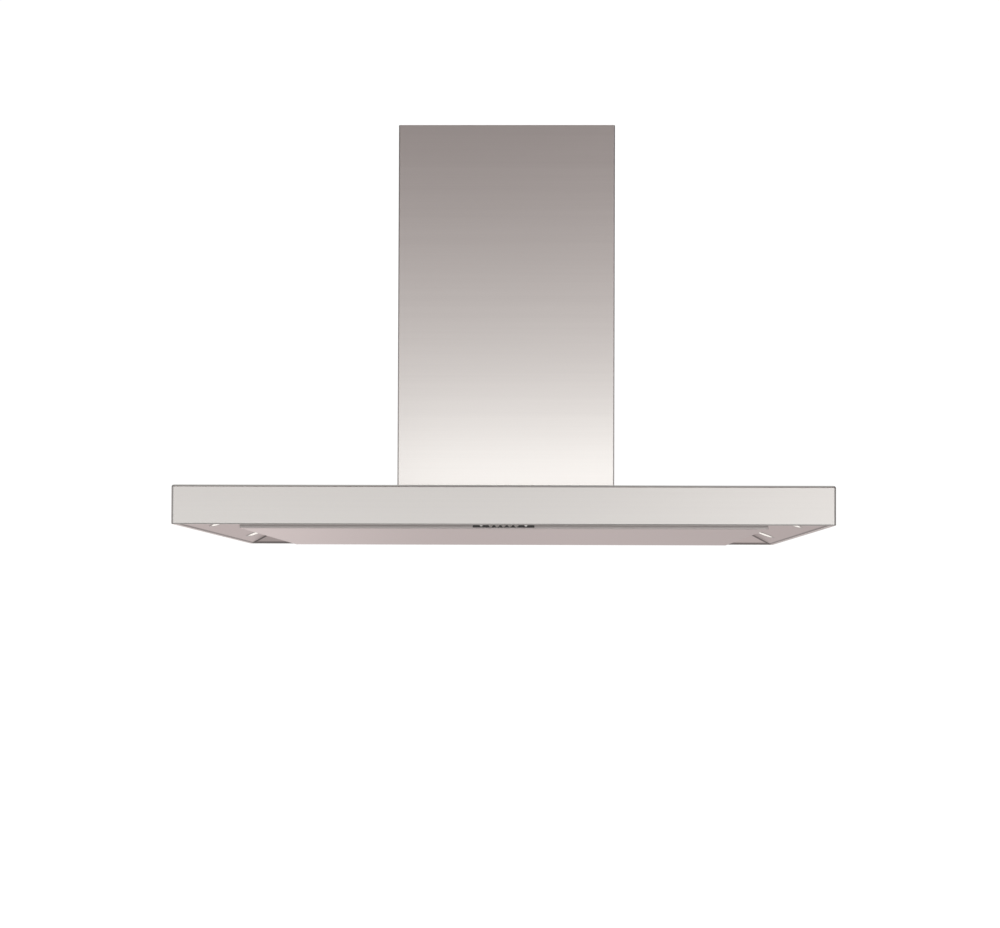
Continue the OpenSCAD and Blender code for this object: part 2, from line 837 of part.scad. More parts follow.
module scroll_housing_right() color(GREY_PLASTIC) scroll_half();
module scroll_housing_left() color(GREY_PLASTIC) mirror([1, 0, 0]) scroll_half();

// Double-inlet impeller on a middle disc
module impeller() color(ALUMINIUM) translate([0, axis_y, axis_z]) {
    r = impeller_d / 2;
    half = impeller_w / 2;
    difference() {
        union() {
            rod_x(r - 1, -1.5, 1.5);
            rod_x(14, -5, 18);
        }
        rod_x(shaft_r, -10, 20);
    }
    both_x() difference() {
        rod_x(r, half - 2, half);
        rod_x(r - 16, half - 3, half + 1);
    }
    for (i = [0 : blade_count - 1])
        rotate([i * 360 / blade_count, 0, 0]) translate([0, r - 8, 0])
            rotate([40, 0, 0]) cube([impeller_w - 2, 14, 1.2], center = true);
}

module motor_shaft() color(STEEL)
    rod_x(shaft_r, motor_x0 + 4, 20, axis_y, axis_z);

module motor() color(ZINC) difference() {
    union() {
        rod_x(motor_d / 2, motor_x0, motor_x1, axis_y, axis_z);
        rod_x(20, bracket_x, motor_x0 + eps, axis_y, axis_z);
    }
    rod_x(shaft_r + 0.5, motor_x0 + 2, motor_x1 + 1, axis_y, axis_z);
    rod_x(11, motor_x1 - 7, motor_x1 + 1, axis_y, axis_z);
    rod_x(11, motor_x0 + 10, motor_x0 + 17, axis_y, axis_z);
}

module motor_bearings() color(STEEL) difference() {
    union() {
        rod_x(11, motor_x1 - 7, motor_x1, axis_y, axis_z);
        rod_x(11, motor_x0 + 10, motor_x0 + 17, axis_y, axis_z);
    }
    rod_x(shaft_r + shaft_play, motor_x0, 0, axis_y, axis_z);
}

// Spider that holds the motor in the left inlet
module motor_bracket() color(ZINC) translate([0, axis_y, axis_z]) difference() {
    union() {
        difference() {
            rod_x(bush_r + 6, bracket_x, bracket_x + 2);
            rod_x(bush_r - 6, bracket_x - 1, bracket_x + 3);
        }
        rod_x(26, bracket_x, bracket_x + 2);
        for (a = bush_angles) rotate([a, 0, 0]) box(bracket_x, bracket_x + 2,
            20, bush_r - 3, -6, 6);
    }
    rod_x(20, bracket_x - 1, bracket_x + 3);
    for (a = bush_angles) rotate([a, 0, 0]) rod_x(2.2, bracket_x - 1, bracket_x + 3,
        bush_r, 0);
}

module motor_bushes() color(DARK) translate([0, axis_y, axis_z])
    for (a = bush_angles) rotate([a, 0, 0]) difference() {
        rod_x(5, bracket_x + 2, -volute_half - side_plate, bush_r, 0);
        rod_x(2.2, bracket_x, -volute_half, bush_r, 0);
    }

// ----------------------------------------------------------------- outlet

// Flat box that leads the volute's outlet to the round collar
module outlet_plenum() color(ZINC) difference() {
    box(-plenum_x, plenum_x, plenum_y0, plenum_y1, fan_top, collar_z);
    box(-plenum_x + 1, plenum_x - 1, plenum_y0 + 1, plenum_y1 - 1, fan_top + 1,
        collar_z - 1);
    box(-volute_half, volute_half, volute_y, outlet_y1, fan_top - eps, fan_top + 2);
    rod_z(duct_d / 2 - collar_wall, 0, 0, collar_z - 2, collar_z + eps);
}

// Round collar with a seat for the flaps and two bosses that hold the damper pin
module outlet_collar() color(BLACK_PLASTIC) difference() {
    union() {
        difference() {
            union() {
                rod_z(duct_d / 2, 0, 0, collar_z, collar_z + collar_h);
                rod_z(duct_d / 2 + 3, 0, 0, collar_z, collar_z + 3);
            }
            rod_z(flap_r - 2, 0, 0, collar_z - eps, collar_z + collar_h + eps);
            rod_z(flap_r + 1, 0, 0, flap_z - flap_t / 2 - 0.1,
                collar_z + collar_h + eps);
            rod_z(flap_r + 1, 0, 0, collar_z - eps, flap_z - flap_t / 2 - 2);
        }
        both_x() rod_x(pin_boss_r, pin_boss_x, duct_d / 2 - 1, 0, flap_z);
    }
    rod_x(pin_r, -pin_end, pin_end, 0, flap_z);
}

module damper_pin() color(STEEL) rod_x(pin_r, -pin_end, pin_end, 0, flap_z);

// Half disc on the +Y side, with knuckles at the given places on the pin
module damper_flap(places) {
    difference() {
        union() {
            intersection() {
                rod_z(flap_r, 0, 0, flap_z - flap_t / 2, flap_z + flap_t / 2);
                box(-duct_d, duct_d, knuckle_r + 0.6, duct_d, flap_z - 5, flap_z + 5);
            }
            for (p = places) {
                rod_x(knuckle_r, p[0], p[1], 0, flap_z);
                box(p[0], p[1], 0, knuckle_r + 1, flap_z - flap_t / 2,
                    flap_z + flap_t / 2);
            }
        }
        rod_x(pin_r + shaft_play, -duct_d, duct_d, 0, flap_z);
    }
}

module damper_flap_rear() color(BLACK_PLASTIC) damper_flap([knuckles[1], knuckles[3]]);

module damper_flap_front() color(BLACK_PLASTIC) mirror([0, 1, 0])
    damper_flap([knuckles[0], knuckles[2]]);

// ------------------------------------------------------------ electronics

module electronics_box() color(ZINC) difference() {
    box(ebox_x0, ebox_x1, -ebox_y, ebox_y, fan_top, fan_top + ebox_h);
    box(ebox_x0 + 1, ebox_x1 - 1, -ebox_y + 1, ebox_y - 1, fan_top + 1,
        fan_top + ebox_h + eps);
    rod_x(4, ebox_x1 - 2, ebox_x1 + 1, 0, ebox_wire_z);
}

module electronics_cover() color(ZINC) difference() {
    top = fan_top + ebox_h;
    box(ebox_x0 - 1.2, ebox_x1 + 1.2, -ebox_y - 1.2, ebox_y + 1.2, top - 6, top + 1);
    box(ebox_x0 - 0.2, ebox_x1 + 0.2, -ebox_y - 0.2, ebox_y + 0.2, top - 7, top);
    rod_z(gland_body_r + 0.2, gland_x, gland_y, top - 1, top + 2);
}

// Circuit board with its transformer, relays and terminal block
module power_board() color(BOARD) {
    x0 = ebox_x0 + board_edge;
    x1 = ebox_x1 - board_edge;
    y1 = ebox_y - board_edge;
    top = board_z + board_t;
    box(x0, x1, -y1, y1, board_z, top);
    for (x = [x0 + 6, x1 - 6], y = [6 - y1, y1 - 6]) rod_z(3, x, y, fan_top + 1, board_z);
    box(132, 164, -80, -44, top, top + 28);
    for (i = [0 : 2]) box(134, 160, -32 + i * 20, -16 + i * 20, top, top + 16);
    box(100, 118, -10, 50, top, top + 18);
}

module capacitor() color(GREY_PLASTIC)
    rod_y(capacitor_r, 113, -90, -28, board_z + board_t + capacitor_r);

// Compression gland for the mains cable
module cable_gland() color(BLACK_PLASTIC) {
    top = fan_top + ebox_h + 1;
    difference() {
        union() {
            rod_z(gland_body_r, gland_x, gland_y, top - 9, top + gland_nut_h);
            for (z = [top, top - 1 - gland_nut_h]) translate([gland_x, gland_y, z])
                cylinder(r = gland_nut_r, h = gland_nut_h, $fn = 6);
            translate([gland_x, gland_y, top + gland_nut_h])
                cylinder(r1 = gland_nut_r - 1.5, r2 = gland_body_r, h = gland_cap_h);
        }
        rod_z(gland_bore_d / 2, gland_x, gland_y, top - 10,
            top + gland_nut_h + gland_cap_h + 1);
    }
}

// Wiring inside the hood, from the electronics to the board and the lamps
wire_r = 2.2;
ebox_wire_z = fan_top + 30;
plenum_wire_z = tray_top + 13.5;
board_wire = [40, rail_rear - rail_wall - 2.4];
lamp_top_x = lamp_x + lamp_can_h * sin(incline_angle);
lamp_top_z = foot_z + (lip_x - lamp_x) * tray_rise / tray_run
    + lamp_can_h * cos(incline_angle) + wire_r * tan(incline_angle);

module wiring_harness() color(COPPER) {
    z = plenum_wire_z;
    wire([[ebox_x1, 0, ebox_wire_z], [wire_x, 0, ebox_wire_z], [wire_x, 0, z],
        [wire_x, board_wire[1], z], [board_wire[0], board_wire[1], z],
        [board_wire[0], board_wire[1], panel_z + rail_wall + 13.4]], wire_r);
    wire([[wire_x, 0, z], [wire_x, 125, z], [lamp_top_x, 125, z],
        [lamp_top_x, lamp_y_rear, z], [lamp_top_x, lamp_y_rear, lamp_top_z]], wire_r);
    wire([[lamp_top_x, 125, z], [lamp_top_x, lamp_y_front, z],
        [lamp_top_x, lamp_y_front, lamp_top_z]], wire_r);
    wire([[wire_x, 125, z], [-lamp_top_x, 125, z], [-lamp_top_x, lamp_y_rear, z],
        [-lamp_top_x, lamp_y_rear, lamp_top_z]], wire_r);
    wire([[-lamp_top_x, 125, z], [-lamp_top_x, lamp_y_front, z],
        [-lamp_top_x, lamp_y_front, lamp_top_z]], wire_r);
    for (p = [[wire_x, 125, z], [lamp_top_x, 125, z], [-lamp_top_x, 125, z]])
        translate(p) sphere(wire_r, $fn = 16);
}

// ------------------------------------------------------------------ nodes

ceiling_plate();
upper_frame_posts();
upper_frame_braces();
upper_chimney_front();
upper_chimney_rear();
upper_chimney_screws();
lower_frame_posts();
lower_frame_braces();
rail_lock_screws();
lower_chimney_front();
lower_chimney_rear();
chimney_base_screws();
canopy_shell();
inner_tray();
filter_rails();
grease_filter_left();
grease_filter_centre();
grease_filter_right();
filter_latch_left();
filter_latch_centre();
filter_latch_right();
control_rail();
control_fascia();
indicator_lights();
control_board();
button_1();
button_2();
button_3();
button_4();
button_5();
filter_cover();
cover_hinge_leaves();
cover_strikers();
cover_hinge_brackets();
cover_hinge_pins();
cover_magnets();
lamp_bezels();
lamp_lenses();
lamp_housings();
lamp_transformer();
fan_box();
scroll_housing_left();
scroll_housing_right();
impeller();
motor_shaft();
motor();
motor_bearings();
motor_bracket();
motor_bushes();
outlet_plenum();
outlet_collar();
damper_pin();
damper_flap_front();
damper_flap_rear();
electronics_box();
electronics_cover();
power_board();
capacitor();
cable_gland();
wiring_harness();
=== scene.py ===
import json
import math

import bpy
import bmesh
from mathutils import Matrix, Vector


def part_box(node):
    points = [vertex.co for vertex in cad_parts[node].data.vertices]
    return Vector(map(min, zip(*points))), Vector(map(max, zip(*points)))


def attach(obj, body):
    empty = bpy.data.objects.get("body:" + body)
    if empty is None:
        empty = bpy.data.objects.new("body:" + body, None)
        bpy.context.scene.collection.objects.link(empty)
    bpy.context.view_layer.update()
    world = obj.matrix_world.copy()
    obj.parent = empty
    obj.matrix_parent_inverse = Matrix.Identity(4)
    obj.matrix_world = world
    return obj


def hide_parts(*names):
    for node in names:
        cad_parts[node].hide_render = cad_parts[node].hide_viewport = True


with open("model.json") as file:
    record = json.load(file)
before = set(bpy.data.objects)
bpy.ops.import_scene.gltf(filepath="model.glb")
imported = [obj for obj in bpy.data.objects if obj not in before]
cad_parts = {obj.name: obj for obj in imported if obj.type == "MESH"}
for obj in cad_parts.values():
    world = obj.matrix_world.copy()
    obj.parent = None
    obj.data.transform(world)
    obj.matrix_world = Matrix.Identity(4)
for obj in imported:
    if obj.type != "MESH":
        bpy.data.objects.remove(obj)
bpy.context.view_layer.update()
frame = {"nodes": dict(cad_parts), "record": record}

MM = 0.001

SHEET = 1.2 * MM             # thickness of the canopy's sheet
FOLD = 4.5 * MM              # outer radius of the canopy's folded edges
CORNER = 6.0 * MM            # radius of its upright corners
RIM = 8.0 * MM               # width of the hem around the open underside
HEM = 2.2 * MM               # radius of the hem's two bends
LIFT = 4.0 * MM              # height of the hem's upper face above the rim
AIR_X, AIR_Y = 165 * MM, 105 * MM   # half sizes of the air opening in the canopy's top

CHIMNEY_SHEET = 1.0 * MM     # thickness of the chimney's sheet
CHIMNEY_FOLD = 3.4 * MM      # outer radius of its upright folds
SEAM = 0.25 * MM             # half of the gap between its front and rear halves
STRAP = 10 * MM              # half width of the straps behind that gap
STRAP_DROP = 39 * MM         # the upper chimney's straps end this far below the ceiling
FOOT = 13 * MM               # depth of the lower chimney's bent foot

COVER_SHEET = 1.0 * MM       # thickness of the filter cover
COVER_BEND = 2.0 * MM        # radius of its bent edges
COVER_CORNER = 2.5 * MM      # radius of its upright corners
LEAF_X = 350 * MM            # places of its two hinge leaves
LEAF_HALF = 15 * MM          # half width of the notch for a leaf

LENS_R = 16 * MM             # radius of a lamp's glass
LAMP_X = 556 * MM            # its distance from the middle
LENS_PROUD = 0.8 * MM        # its face stands this far out of the tray's margin
MARGIN_RISE = 42 * MM        # height of the tray's sloping side margins
MARGIN_RUN = 110 * MM        # their width

BUTTON_RIM = 0.6 * MM        # rounding of a button's rim
BUTTON_HEAD = 7.4 * MM       # length of its head
STEM_R = 2 * MM              # radius of its stem

FILTER_BORDER = 12 * MM      # width of a grease filter's frame
FILTER_LIP = 1.0 * MM        # thickness of its frame's sheet
FILTER_EDGE = 1.2 * MM       # chamfer round its frame
GRIP_HALF, GRIP_DEEP = 22 * MM, 23 * MM   # the latch's pocket in its front edge

FLOOR_Z = -3.25              # the floor below the ceiling face
LAMP_GLOW = 0.42             # brightness of the lit glasses
WASH = 1.08                  # power of the softbox that lights the chimney's foot
SIDE_FLAG = 0.35             # what the flags at the studio's sides leave of its light
STAINLESS = (0.75, 0.735, 0.71, 1.0)   # colour of the brushed sheet
TRAY = (0.72, 0.665, 0.65, 1.0)        # colour of the inner tray
SHARP = 35                   # folds of more degrees than this are drawn as edges

# The object that stands for each half of the chimney.
CHIMNEY = {
    "lower_chimney_front": "chimney_front", "lower_chimney_rear": "chimney_rear",
    "upper_chimney_front": "inner_chimney_front", "upper_chimney_rear": "inner_chimney_rear",
}

RECORD = frame["record"]
BODY_OF = {n: b for b, nodes in RECORD["behaviour"]["bodies"].items() for n in nodes}
SLOT_OF = {s["node"]: s["material_slot"] for s in RECORD["subparts"]}

# ------------------------------------------------------------------ mesh helpers


def rounded_loop(x0, x1, y0, y1, z, r, n=6):
    """Points of a rounded rectangle at height z, counter-clockwise seen from above."""
    corners = [(x1 - r, y0 + r, -90), (x1 - r, y1 - r, 0),
               (x0 + r, y1 - r, 90), (x0 + r, y0 + r, 180)]
    points = []
    for cx, cy, start in corners:
        for k in range(n + 1):
            a = math.radians(start + 90 * k / n)
            points.append((cx + r * math.cos(a), cy + r * math.sin(a), z))
    return points


def loft(loops, ring=False, caps=(False, False)):
    """Vertices and faces of a skin through loops that all have the same length."""
    n = len(loops[0])
    verts = [p for loop in loops for p in loop]
    faces = []
    last = len(loops) if ring else len(loops) - 1
    for i in range(last):
        a, b = i * n, (i + 1) % len(loops) * n
        for k in range(n):
            m = (k + 1) % n
            faces.append((a + k, a + m, b + m, b + k))
    if caps[0]:
        faces.append(tuple(reversed(range(n))))
    if caps[1]:
        faces.append(tuple(range((len(loops) - 1) * n, len(loops) * n)))
    return verts, faces


def arc(cx, cy, r, a0, a1, n):
    """Points on an arc from angle a0 to a1, in degrees."""
    steps = [math.radians(a0 + (a1 - a0) * k / n) for k in range(n + 1)]
    return [(cx + r * math.cos(a), cy + r * math.sin(a)) for a in steps]


def box_mesh(x0, x1, y0, y1, z0, z1):
    """A plain box."""
    verts = [(x, y, z) for x in (x0, x1) for y in (y0, y1) for z in (z0, z1)]
    faces = [(0, 1, 3, 2), (4, 6, 7, 5), (0, 4, 5, 1), (2, 3, 7, 6),
             (0, 2, 6, 4), (1, 5, 7, 3)]
    return verts, faces


def merged(*parts):
    """Several (vertices, faces) pairs as one."""
    verts, faces = [], []
    for v, f in parts:
        base = len(verts)
        verts += v
        faces += [tuple(i + base for i in face) for face in f]
    return verts, faces


def lathe(profile, n=48):
    """A profile of (radius, height) points turned about +Z; radius 0 closes an end."""
    verts, faces, rows = [], [], []
    for r, h in profile:
        if r < 1e-9:
            rows.append([len(verts)] * n)
            verts.append((0, 0, h))
        else:
            rows.append(list(range(len(verts), len(verts) + n)))
            verts += [(r * math.cos(2 * math.pi * k / n),
                       r * math.sin(2 * math.pi * k / n), h) for k in range(n)]
    for a, b in zip(rows, rows[1:]):
        for k in range(n):
            m = (k + 1) % n
            face = []
            for i in (a[k], a[m], b[m], b[k]):
                if i not in face:
                    face.append(i)
            if len(face) > 2:
                faces.append(tuple(face))
    return verts, faces


def placed(mesh, matrix):
    """The mesh moved by the matrix."""
    verts, faces = mesh
    return [tuple(matrix @ Vector(v)) for v in verts], faces


def make_object(name, mesh):
    """A mesh object with outward normals, smooth except at its sharp folds."""
    data = bpy.data.meshes.new(name)
    data.from_pydata(mesh[0], [], mesh[1])
    bm = bmesh.new()
    bm.from_mesh(data)
    bmesh.ops.remove_doubles(bm, verts=bm.verts, dist=1e-7)
    bmesh.ops.recalc_face_normals(bm, faces=bm.faces)
    bm.to_mesh(data)
    bm.free()
    data.shade_smooth()
    data.set_sharp_from_angle(angle=math.radians(SHARP))
    obj = bpy.data.objects.new(name, data)
    bpy.context.scene.collection.objects.link(obj)
    return obj


def bevel(obj, width, segments=2, angle=SHARP):
    """A small rounding on the sharp edges, with shading that keeps flats flat."""
    mod = obj.modifiers.new("edge", "BEVEL")
    mod.width = width
    mod.segments = segments
    mod.limit_method = "ANGLE"
    mod.angle_limit = math.radians(angle)
    mod.use_clamp_overlap = True
    normals = obj.modifiers.new("flats", "WEIGHTED_NORMAL")
    normals.keep_sharp = True
    return obj


def stand_for(obj, node, *others):
    """obj replaces a CAD node, rides on its body and takes its material."""
    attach(obj, BODY_OF[node])
    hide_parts(node, *others)
    obj.data.materials.clear()
    obj.data.materials.append(MATERIALS[SLOT_OF[node]])
    return obj


def cut(obj, cutters):
    """Takes the cutters' (vertices, faces) out of obj's mesh."""
    tool = make_object("cutter", merged(*cutters))
    mod = obj.modifiers.new("cut", "BOOLEAN")
    mod.operation = "DIFFERENCE"
    mod.solver = "EXACT"
    mod.object = tool
    graph = bpy.context.evaluated_depsgraph_get()
    data = bpy.data.meshes.new_from_object(obj.evaluated_get(graph))
    obj.modifiers.clear()
    obj.data = data
    bpy.data.objects.remove(tool)
    data.set_sharp_from_angle(angle=math.radians(SHARP))
    return obj


# -------------------------------------------------------------------- materials


class Nodes:
    """Short calls for the nodes that the finishes and the studio share."""

    def __init__(self, tree):
        self.tree = tree

    def node(self, kind, **settings):
        made = self.tree.nodes.new("ShaderNode" + kind)
        for key, value in settings.items():
            setattr(made, key, value)
        return made

    def link(self, source, target):
        self.tree.links.new(source, target)

    def put(self, socket, value):
        """Sets a socket to a number, a colour or another node's output."""
        if isinstance(value, bpy.types.NodeSocket):
            self.link(value, socket)
        else:
            socket.default_value = value

    def math(self, operation, a, b=0.0):
        made = self.node("Math", operation=operation)
        self.put(made.inputs[0], a)
        self.put(made.inputs[1], b)
        return made.outputs[0]

    def mix(self, factor, a, b):
        made = self.node("Mix", data_type="FLOAT")
        self.put(made.inputs[0], factor)
        self.put(made.inputs[2], a)
        self.put(made.inputs[3], b)
        return made.outputs[0]

    def mix_colour(self, factor, a, b):
        made = self.node("Mix", data_type="RGBA")
        self.put(made.inputs[0], factor)
        self.put(made.inputs[6], a)
        self.put(made.inputs[7], b)
        return made.outputs[2]

    def smooth(self, value, low, high, to_low, to_high):
        """to_low up to low, passing smoothly to to_high at high."""
        made = self.node("MapRange", interpolation_type="SMOOTHSTEP")
        for socket, entry in zip(made.inputs, (value, low, high, to_low, to_high)):
            self.put(socket, entry)
        return made.outputs[0]


class Shader(Nodes):
    """A node material around a Principled BSDF."""

    def __init__(self, name):
        self.material = bpy.data.materials.new(name)
        self.material.use_nodes = True
        super().__init__(self.material.node_tree)
        self.bsdf = self.tree.nodes["Principled BSDF"]

    def place(self):
        return self.node("TexCoord").outputs["Object"]

    def scaled(self, vector, scale):
        made = self.node("Mapping")
        self.link(vector, made.inputs["Vector"])
        made.inputs["Scale"].default_value = scale
        return made.outputs[0]

    def noise(self, vector, scale, detail=3.0, rough=0.55):
        made = self.node("TexNoise")
        self.link(vector, made.inputs["Vector"])
        made.inputs["Scale"].default_value = scale
        made.inputs["Detail"].default_value = detail
        made.inputs["Roughness"].default_value = rough
        return made.outputs["Fac"]

    def around(self, value, middle, spread):
        """A texture value of about 0 to 1 as middle plus or minus spread."""
        return self.math(
            "ADD", self.math("MULTIPLY", self.math("SUBTRACT", value, 0.5), 2 * spread),
            middle)

    def fade(self, value, near, far):
        """1 up to near, falling to 0 at far."""
        return self.smooth(value, near, far, 1.0, 0.0)

    def bump(self, height, strength, distance):
        made = self.node("Bump")
        made.inputs["Strength"].default_value = strength
        made.inputs["Distance"].default_value = distance
        self.link(height, made.inputs["Height"])
        self.link(made.outputs[0], self.bsdf.inputs["Normal"])

    def set(self, **values):
        for key, value in values.items():
            self.put(self.bsdf.inputs[key.replace("_", " ")], value)


def rgb(r, g, b):
    return (r, g, b, 1.0)


def shade(colour, k):
    return rgb(*(c * k for c in colour[:3]))


def grain_vector(s, stretch, fine):
    """Object coordinates squeezed so that a noise makes streaks along the width,
    or along the depth on faces that look sideways."""
    split = s.node("SeparateXYZ")
    s.link(s.place(), split.inputs[0])
    normal = s.node("SeparateXYZ")
    s.link(s.node("NewGeometry").outputs["Normal"], normal.inputs[0])
    sideways = s.math("GREATER_THAN", s.math("ABSOLUTE", normal.outputs[0]), 0.7)
    along = s.mix(sideways, split.outputs[0], split.outputs[1])
    across = s.mix(sideways, split.outputs[1], split.outputs[0])
    joined = s.node("CombineXYZ")
    s.link(s.math("MULTIPLY", along, stretch), joined.inputs[0])
    s.link(s.math("MULTIPLY", across, fine), joined.inputs[1])
    s.link(s.math("MULTIPLY", split.outputs[2], fine), joined.inputs[2])
    return joined.outputs[0]


def crease_shade_mask(s):
    """Painted shade: 1 along the tray's foot and along its two rear corner creases, where
    shade falls, else 0.
    """
    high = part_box("canopy_shell")[1]
    split = s.node("SeparateXYZ")
    s.link(s.place(), split.inputs[0])
    side = s.math("SUBTRACT", high.x - RIM, s.math("ABSOLUTE", split.outputs[0]))
    rear = s.math("SUBTRACT", high.y - RIM, split.outputs[1])
    front = s.math("ADD", high.y - RIM, split.outputs[1])
    foot = s.math("MAXIMUM", s.fade(side, 1.5 * MM, 6.0 * MM),
                  s.fade(s.math("MINIMUM", rear, front), 3.5 * MM, 12.0 * MM))
    corner_shade = s.fade(s.math("ABSOLUTE", s.math("SUBTRACT", side, rear)), 2.5 * MM, 7.5 * MM)
    run = s.math("LESS_THAN", side, MARGIN_RUN)
    return s.math("MAXIMUM", foot, s.math("MULTIPLY", corner_shade, run))


def brushed(name, colour, roughness, contrast, directional=0.38, crease_shade=False):
    """Sheet ground along its width: soft streaks in colour and gloss, and for the tray
    painted shade along its foot and rear corner creases.
    """
    s = Shader(name)
    fine = s.noise(grain_vector(s, 1.5, 420.0), 1.0, 1.0)
    broad = s.noise(grain_vector(s, 0.5, 60.0), 1.0, 2.0)
    cloud = s.noise(s.scaled(s.place(), (3.0, 3.0, 9.0)), 1.0, 2.0)
    streaks = s.math("ADD", s.math("MULTIPLY", fine, 0.4),
                     s.math("MULTIPLY", broad, 0.6))
    tone = s.mix_colour(streaks, shade(colour, 1 - contrast), shade(colour, 1 + contrast))
    tone = s.mix_colour(s.math("MULTIPLY", cloud, 0.3), tone, shade(colour, 1 - contrast))
    # Painted shade: the colour falls to 0.15 of the sheet's along the tray's foot and rear
    # corner creases.
    if crease_shade:
        tone = s.mix_colour(s.math("MULTIPLY", crease_shade_mask(s), 0.85), tone,
                            shade(colour, 0.15))
    s.link(tone, s.bsdf.inputs["Base Color"])
    # All of it stays rougher than 0.274, where the denoiser's guide layers switch.
    s.set(Metallic=1.0, Roughness=s.around(streaks, roughness, 0.02))
    s.bsdf.inputs["Anisotropic"].default_value = directional
    s.bsdf.inputs["Anisotropic Rotation"].default_value = 0.25
    tangent = s.node("CombineXYZ")
    tangent.inputs[0].default_value = 1.0
    tangent.inputs[1].default_value = 0.05
    s.link(tangent.outputs[0], s.bsdf.inputs["Tangent"])
    return s.material


def plated(name, colour, roughness, spangle=140.0):
    """Zinc-coated sheet with soft crystal spangles and a few dull patches."""
    s = Shader(name)
    cells = s.node("TexVoronoi")
    s.link(s.place(), cells.inputs["Vector"])
    cells.inputs["Scale"].default_value = spangle
    tone = s.node("SeparateColor")
    s.link(cells.outputs["Color"], tone.inputs[0])
    patches = s.noise(s.place(), 9.0, 4.0)
    factor = s.math("ADD", s.math("MULTIPLY", tone.outputs[0], 0.5),
                    s.math("MULTIPLY", patches, 0.5))
    s.set(Metallic=1.0, Roughness=s.around(factor, roughness, 0.1))
    s.link(s.mix_colour(factor, shade(colour, 0.86), shade(colour, 1.1)),
           s.bsdf.inputs["Base Color"])
    s.bump(s.noise(s.place(), 900.0, 2.0), 0.15, 0.00004)
    return s.material


def turned(name, colour, roughness):
    """Plain machined metal with faint marks and smudges."""
    s = Shader(name)
    marks = s.noise(s.place(), 1500.0, 3.0)
    smudges = s.noise(s.place(), 60.0, 3.0)
    s.link(s.mix_colour(smudges, shade(colour, 0.9), shade(colour, 1.08)),
           s.bsdf.inputs["Base Color"])
    s.set(Metallic=1.0, Roughness=s.around(smudges, roughness, 0.05))
    s.bump(marks, 0.12, 0.00003)
    return s.material


def moulded(name, colour, roughness, grain=1100.0, depth=0.25):
    """Moulded plastic with a fine spark-eroded grain."""
    s = Shader(name)
    texture = s.noise(s.place(), grain, 3.0)
    drift = s.noise(s.place(), 25.0, 3.0)
    s.link(s.mix_colour(drift, shade(colour, 0.85), shade(colour, 1.15)),
           s.bsdf.inputs["Base Color"])
    s.set(Roughness=s.around(drift, roughness, 0.06))
    s.bump(texture, depth, 0.00006)
    return s.material


def circuit(name):
    """Solder resist with fine copper tracks under it."""
    s = Shader(name)
    brick = s.node("TexBrick")
    s.link(s.place(), brick.inputs["Vector"])
    brick.inputs["Scale"].default_value = 180.0
    brick.inputs["Color1"].default_value = rgb(0.02, 0.13, 0.05)
    brick.inputs["Color2"].default_value = rgb(0.03, 0.17, 0.07)
    brick.inputs["Mortar"].default_value = rgb(0.10, 0.24, 0.08)
    brick.inputs["Mortar Size"].default_value = 0.03
    speckle = s.noise(s.place(), 400.0, 2.0)
    s.link(s.mix_colour(s.math("MULTIPLY", speckle, 0.3), brick.outputs["Color"],
                        rgb(0.04, 0.10, 0.05)), s.bsdf.inputs["Base Color"])
    s.set(Roughness=s.around(speckle, 0.35, 0.08))
    s.bump(brick.outputs["Fac"], 0.3, 0.00005)
    return s.material


def sleeve(name):
    """Braided sleeve around the wiring."""
    s = Shader(name)
    wave = s.node("TexWave")
    s.link(s.place(), wave.inputs["Vector"])
    wave.bands_direction = "DIAGONAL"
    wave.inputs["Scale"].default_value = 220.0
    wave.inputs["Distortion"].default_value = 1.5
    s.link(s.mix_colour(wave.outputs["Fac"], rgb(0.012, 0.012, 0.013),
                        rgb(0.05, 0.05, 0.055)), s.bsdf.inputs["Base Color"])
    s.set(Roughness=s.around(wave.outputs["Fac"], 0.6, 0.1))
    s.bump(wave.outputs["Fac"], 0.4, 0.0002)
    return s.material


def lit_glass(name):
    """Frosted lamp glass, lit warm from behind."""
    s = Shader(name)
    frost = s.noise(s.place(), 700.0, 3.0)
    s.link(s.mix_colour(frost, rgb(0.42, 0.41, 0.39), rgb(0.50, 0.49, 0.47)),
           s.bsdf.inputs["Base Color"])
    s.set(Roughness=s.around(frost, 0.35, 0.08))
    s.link(s.mix_colour(frost, rgb(1.0, 0.93, 0.82), rgb(1.0, 0.97, 0.92)),
           s.bsdf.inputs["Emission Color"])
    s.bsdf.inputs["Emission Strength"].default_value = LAMP_GLOW
    s.bump(frost, 0.2, 0.00005)
    return s.material


def milky(name, colour):
    """Translucent plastic of the indicator lights."""
    s = Shader(name)
    haze = s.noise(s.place(), 500.0, 2.0)
    s.link(s.mix_colour(haze, shade(colour, 0.92), shade(colour, 1.05)),
           s.bsdf.inputs["Base Color"])
    s.set(Roughness=s.around(haze, 0.3, 0.05))
    s.bump(haze, 0.1, 0.00004)
    return s.material


